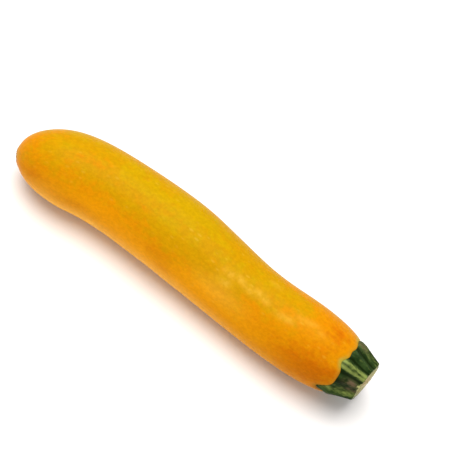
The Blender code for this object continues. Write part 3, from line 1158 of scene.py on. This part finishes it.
@dataclass
class Stem:
    """The cut stub of the stem: five ridges with weaker ribs between, a flared foot and a cut face."""

    fruit: Fruit
    finish: StemRind = StemRind()
    ridge_sizes: tuple[float, ...] = (1.35, 1.00, 1.20, 1.00, 1.10)
    strand_sizes: tuple[float, ...] = (1.0, 1.0, 0.8, 1.0, 0.9)
    pale_streaks: tuple[Streak, ...] = (
        Streak(-19.0, 3.4, 0.54),
        Streak(-30.0, 3.2, 0.70),
        Streak(-24.5, 8.5, 0.30),
        Streak(32.0, 8.0, 0.38),
        Streak(3.0, 4.5, 0.18),
        Streak(-79.0, 9.0, 0.48),
        Streak(-56.0, 4.5, 0.14, start=0.004),
        Streak(111.0, 3.6, 0.70),
        Streak(120.0, 3.4, 0.55),
        Streak(189.0, 3.8, 0.60),
        Streak(198.0, 3.2, 0.75),
        Streak(77.0, 4.5, 0.25),
        Streak(154.0, 4.5, 0.30),
        Streak(232.0, 4.5, 0.25),
    )
    # painted shade: dark stripes in the grooves between the ridges, and a dark band low on the panel at the
    # foot
    groove_shades: tuple[Streak, ...] = (
        Streak(18.0, 4.5, 0.90, start=0.002),
        Streak(-9.0, 3.4, 1.00, end=0.0145),
        Streak(-39.0, 4.2, 0.90),
        Streak(-24.5, 1.6, 0.35, end=0.012),
        Streak(-58.0, 10.0, 0.95, end=0.0055),
        Streak(-76.0, 2.5, 0.40, start=0.004),
        Streak(56.0, 4.0, 0.80),
        Streak(97.0, 4.0, 0.80),
        Streak(134.0, 4.0, 0.80),
        Streak(172.0, 4.0, 0.80),
        Streak(213.0, 4.0, 0.80),
        Streak(250.0, 4.0, 0.70),
    )
    dry_patches: tuple[Patch, ...] = (
        Patch(0.0095, -52.0, 0.0030, 7.0, 1.2),
        Patch(0.0115, -68.0, 0.0034, 6.0, 1.0),
        Patch(0.0040, 33.0, 0.0040, 5.0, 0.6),
        Patch(0.0120, 145.0, 0.0030, 9.0, 0.8),
    )
    pale_patches_and_glint: tuple[Patch, ...] = (
        # painted highlight: this first patch is a glint low on the panel under the pale ridge
        Patch(0.0050, -47.0, 0.0016, 2.5, 0.30),
        Patch(0.0155, -24.0, 0.0030, 12.0, 0.45),
        Patch(0.0160, -6.0, 0.0016, 8.0, 0.60),
        Patch(0.0005, -22.0, 0.0018, 9.0, 0.25),
    )
    bared: tuple[Patch, ...] = (
        Patch(0.0154, -49.0, 0.0026, 9.0, 1.10),
        Patch(0.0157, -64.0, 0.0018, 10.0, 1.00),
        Patch(0.0160, 170.0, 0.0016, 10.0, 0.90),
    )
    bared_depth: float = 0.25
    # a wider green rim on the cut face: torn rind, and painted shade where the dished cut faces away from
    # the lamp
    green_edges_and_shade: tuple[Streak, ...] = (
        Streak(24.0, 24.0, 0.20),
        Streak(-112.0, 20.0, 0.07),
        Streak(165.0, 25.0, 0.05),
    )
    fibres: Waves = Waves(seed=5, count=26, height=0.00010, longest=0.060, shortest=0.012, most_turns=64)
    fibres_from_foot: Span = (-0.001, 0.003)
    length: float = 0.0157
    cut_slant: float = 0.0015
    cut_slant_deg: float = 123.0
    panel: Profile = ((0.0000, 0.0151), (0.0030, 0.0148), (0.0060, 0.0132), (0.0100, 0.0115),
                      (0.0170, 0.0094))
    ridge_rise: Profile = ((0.0000, 0.0016), (0.0060, 0.0020), (0.0100, 0.0020), (0.0170, 0.0016))
    strand_rise: Profile = ((0.0000, 0.0003), (0.0060, 0.0008), (0.0170, 0.0009))
    foot_to: float = 0.0060
    foot_lip: float = 0.0010
    foot_hollow: float = 0.2
    sink: float = 0.0005
    cut_bevel: float = 0.0003
    cut_dish: float = 0.0006
    cut_ring: float = 0.00022
    cut_ring_at: float = 0.70
    cut_ring_width: float = 0.10
    cut_rays: Waves = Waves(seed=23, count=18, height=0.00010, longest=0.020, shortest=0.006, most_turns=30)
    ray_length: float = 0.010
    ray_rise: float = 2.0
    ray_fall: float = 8.0
    face_place: float = 0.020
    face_from: Span = (-1.5, 0.5)
    sides: int = 440
    foot_rings: int = 12
    wall_rings: int = 110
    wall_crowding: float = 1.2
    face_rings: int = 40

    def relief(self, share: float, angle: Array) -> Array:
        """The cut face's relief: a dish with a low ring in it, and fine rays outward.

        Args:
            share: The ring's share of the way from the middle to the rim.
            angle: Angles round it.

        Returns:
            Heights over the rim's own plane.
        """
        ring = self.cut_ring * math.exp(-(((share - self.cut_ring_at) / self.cut_ring_width) ** 2))
        rays = self.cut_rays.over(np.full(angle.shape, self.ray_length * share), angle)
        rays = rays * min(1.0, self.ray_rise * share)
        fading = min(1.0, self.ray_fall * (1.0 - share))
        return ring + rays * fading - self.cut_dish * (1.0 - share ** 2)

    def outline(self, height: Array, angle: Array) -> Array:
        """Works out the wall's radii: the panels, with the ridges, the weaker ribs and the fibres.

        Args:
            height: The height at each angle.
            angle: Angles round the stem.

        Returns:
            The radii there.
        """
        foot = self.fruit.foot
        ridge = ribs(angle, foot.ridges_deg, foot.ridge_spread_deg, self.ridge_sizes)
        strand = ribs(angle, foot.strands_deg, foot.strand_spread_deg, self.strand_sizes)
        rise = ridge * smooth_through(self.ridge_rise, height)
        rise = rise + strand * smooth_through(self.strand_rise, height)
        share = np.clip(height / self.foot_to, 0.0, 1.0)
        fibres = self.fibres.over(height, angle) * step_between(height, *self.fibres_from_foot)
        return smooth_through(self.panel, height) + foot.flare(angle) * (1.0 - share) + rise * share + fibres

    def rings(self, angle: Array) -> StemRings:
        """Works the stem's rings out.

        Args:
            angle: The angles of their points.

        Returns:
            The rings.
        """
        edge = self.fruit.foot.radius + self.fruit.foot.flare(angle)
        inner = [edge * share for share in np.linspace(self.foot_hollow, 1.0, self.foot_rings)]
        under = [(radius, self.fruit.shoulder_height(radius, angle) - self.sink) for radius in inner]
        sill = under[-1][1]
        cut = self.length + self.cut_slant * np.cos(angle - math.radians(self.cut_slant_deg))
        wall = []
        for share in np.linspace(0.0, 1.0, self.wall_rings + 1)[1:] ** self.wall_crowding:
            height = sill + share * (cut - self.cut_bevel - sill)
            lip = np.clip((height - sill) / self.foot_lip, 0.0, 1.0)
            wall.append((edge + (self.outline(height, angle) - edge) * np.sqrt(lip * (2.0 - lip)), height))
        rim = self.outline(cut, angle) - self.cut_bevel
        inward = np.linspace(1.0, 0.0, self.face_rings + 2)[1:-1]
        face = [(rim, cut)] + [(rim * share, cut + self.relief(share, angle)) for share in inward]
        radius, height = (np.stack(rows) for rows in zip(*under, *wall, *face))
        below = len(under) + len(wall)
        shares = np.concatenate([np.ones(below + 1), inward])[:, None]
        on_face = step_between(np.arange(len(radius)) - below, *self.face_from)[:, None]
        return StemRings(radius, height, shares, on_face)

    def dress(self, mesh: bpy.types.Mesh, rings: StemRings, angle: Array) -> None:
        """Stores what the finish reads at the stem's points.

        Args:
            mesh: The stem's mesh.
            rings: The rings that it was made through.
            angle: The angles of their points.
        """
        height = rings.height
        pale = total(self.pale_streaks, height, angle) + total(self.pale_patches_and_glint, height, angle)
        bared = np.clip(total(self.bared, height, angle), 0.0, 1.0)
        carry_marks(mesh, height.shape, {
            Mark.PALE: (pale, 0.0, 0.0),
            Mark.PAINTED_SHADE: (np.clip(total(self.groove_shades, height, angle), 0.0, 1.0), 0.0, 0.0),
            Mark.DRY: (np.clip(total(self.dry_patches, height, angle), 0.0, 1.0), 0.0, 0.0),
            Mark.CUT: (np.maximum(rings.on_face, bared), 0.0, 1.0),
            Mark.SHARE: (rings.share - self.bared_depth * bared, 0.0, 0.0),
            Mark.EDGE: (total(self.green_edges_and_shade, height, angle), 0.0, 0.0),
        })
        inward = rings.share < 1.0
        radius = np.where(inward, self.ray_length, rings.radius)
        along = np.where(inward, height + self.face_place + self.ray_length * rings.share, height)
        carry_straight(mesh, along, radius, angle, self.length + self.face_place)

    def build(self, offset: Array) -> bpy.types.Object:
        """Makes the stem and dresses it.

        Args:
            offset: The move from the spine's own axes to the row frame.

        Returns:
            The piece.
        """
        angle = np.linspace(0.0, math.tau, self.sides, endpoint=False)
        rings = self.rings(angle)
        neck = np.array([self.fruit.spine.neck])
        where, forward, side, up = (row[0] for row in self.fruit.spine.frames(neck))
        where = where + offset
        aside = (rings.radius * np.sin(angle))[..., None] * side
        upward = (rings.radius * np.cos(angle))[..., None] * up
        points = where + aside + upward + rings.height[..., None] * forward
        first = where + float(self.fruit.shoulder_height(np.zeros(1), np.zeros(1))[0]) * forward
        last = where + (self.length - self.cut_dish) * forward
        mesh = lofted_mesh("stem_stub", points, first, last)
        self.dress(mesh, rings, angle)
        return add_piece(mesh, self.finish.make(), Node.STEM)


@dataclass
class Studio:
    """The floor, the soft light and the camera that looks down on the zucchini."""

    aim: Triple = (0.01067, 0.02228, 0.020)
    distance: float = 0.570775
    elevation_deg: float = 58.5
    azimuth_deg: float = 5.0
    roll_deg: float = 29.0
    lens_mm: float = 85.0
    floor_side: float = 6.0
    sky_colour: Colour = (1.0, 1.0, 1.0, 1.0)
    sky_strength: float = 0.56
    lamp_watts: float = 16.4
    lamp_size: float = 1.12
    lamp_place: Triple = (-0.22, 0.15, 1.07)
    finish: PaleFloor = PaleFloor()

    def add_floor(self) -> None:
        """Lays the floor under the zucchini."""
        half = self.floor_side / 2
        corners = [(-half, -half, 0.0), (half, -half, 0.0), (half, half, 0.0), (-half, half, 0.0)]
        mesh = bpy.data.meshes.new("floor")
        mesh.from_pydata(corners, [], [(0, 1, 2, 3)])
        mesh.materials.append(self.finish.make())
        floor = bpy.data.objects.new("floor", mesh)
        bpy.context.scene.collection.objects.link(floor)

    def add_light(self) -> None:
        """Lights the scene with a pale sky and one large soft lamp."""
        world = bpy.data.worlds.new("soft_sky")
        world.use_nodes = True
        sky = world.node_tree.nodes["Background"]
        sky.inputs["Color"].default_value = self.sky_colour
        sky.inputs["Strength"].default_value = self.sky_strength
        bpy.context.scene.world = world
        data = bpy.data.lights.new("soft_lamp", "AREA")
        data.shape = "DISK"
        data.size = self.lamp_size
        data.energy = self.lamp_watts
        lamp = bpy.data.objects.new("soft_lamp", data)
        lamp.location = self.lamp_place
        lamp.rotation_mode = "QUATERNION"
        towards = Vector(self.aim) - Vector(self.lamp_place)
        lamp.rotation_quaternion = towards.to_track_quat("-Z", "Y")
        bpy.context.scene.collection.objects.link(lamp)

    def add_camera(self) -> None:
        """Puts the camera at the photograph's viewing angle."""
        tilt = math.radians(self.elevation_deg)
        turn = Matrix.Rotation(math.radians(self.azimuth_deg), 3, "Z")
        forward = turn @ Vector((0.0, math.cos(tilt), -math.sin(tilt)))
        level = turn @ Vector((1.0, 0.0, 0.0))
        upright = level.cross(forward)
        roll = math.radians(self.roll_deg)
        right = math.cos(roll) * level + math.sin(roll) * upright
        up = math.cos(roll) * upright - math.sin(roll) * level
        data = bpy.data.cameras.new("camera")
        data.lens = self.lens_mm
        camera = bpy.data.objects.new("camera", data)
        camera.rotation_mode = "QUATERNION"
        camera.rotation_quaternion = Matrix((right, up, -forward)).transposed().to_quaternion()
        camera.location = Vector(self.aim) - self.distance * forward
        bpy.context.scene.collection.objects.link(camera)
        bpy.context.scene.camera = camera

    def build(self) -> None:
        """Sets the floor, the light and the camera up."""
        self.add_floor()
        self.add_light()
        self.add_camera()
        bpy.context.scene.view_settings.view_transform = "Standard"


def main() -> None:
    """Builds the zucchini and the studio round it."""
    logging.basicConfig(level=logging.INFO, format="%(name)s: %(message)s")
    fruit = Fruit()
    fruit.build()
    Stem(fruit).build(fruit.offset())
    Studio().build()


if __name__ == "__main__":
    main()
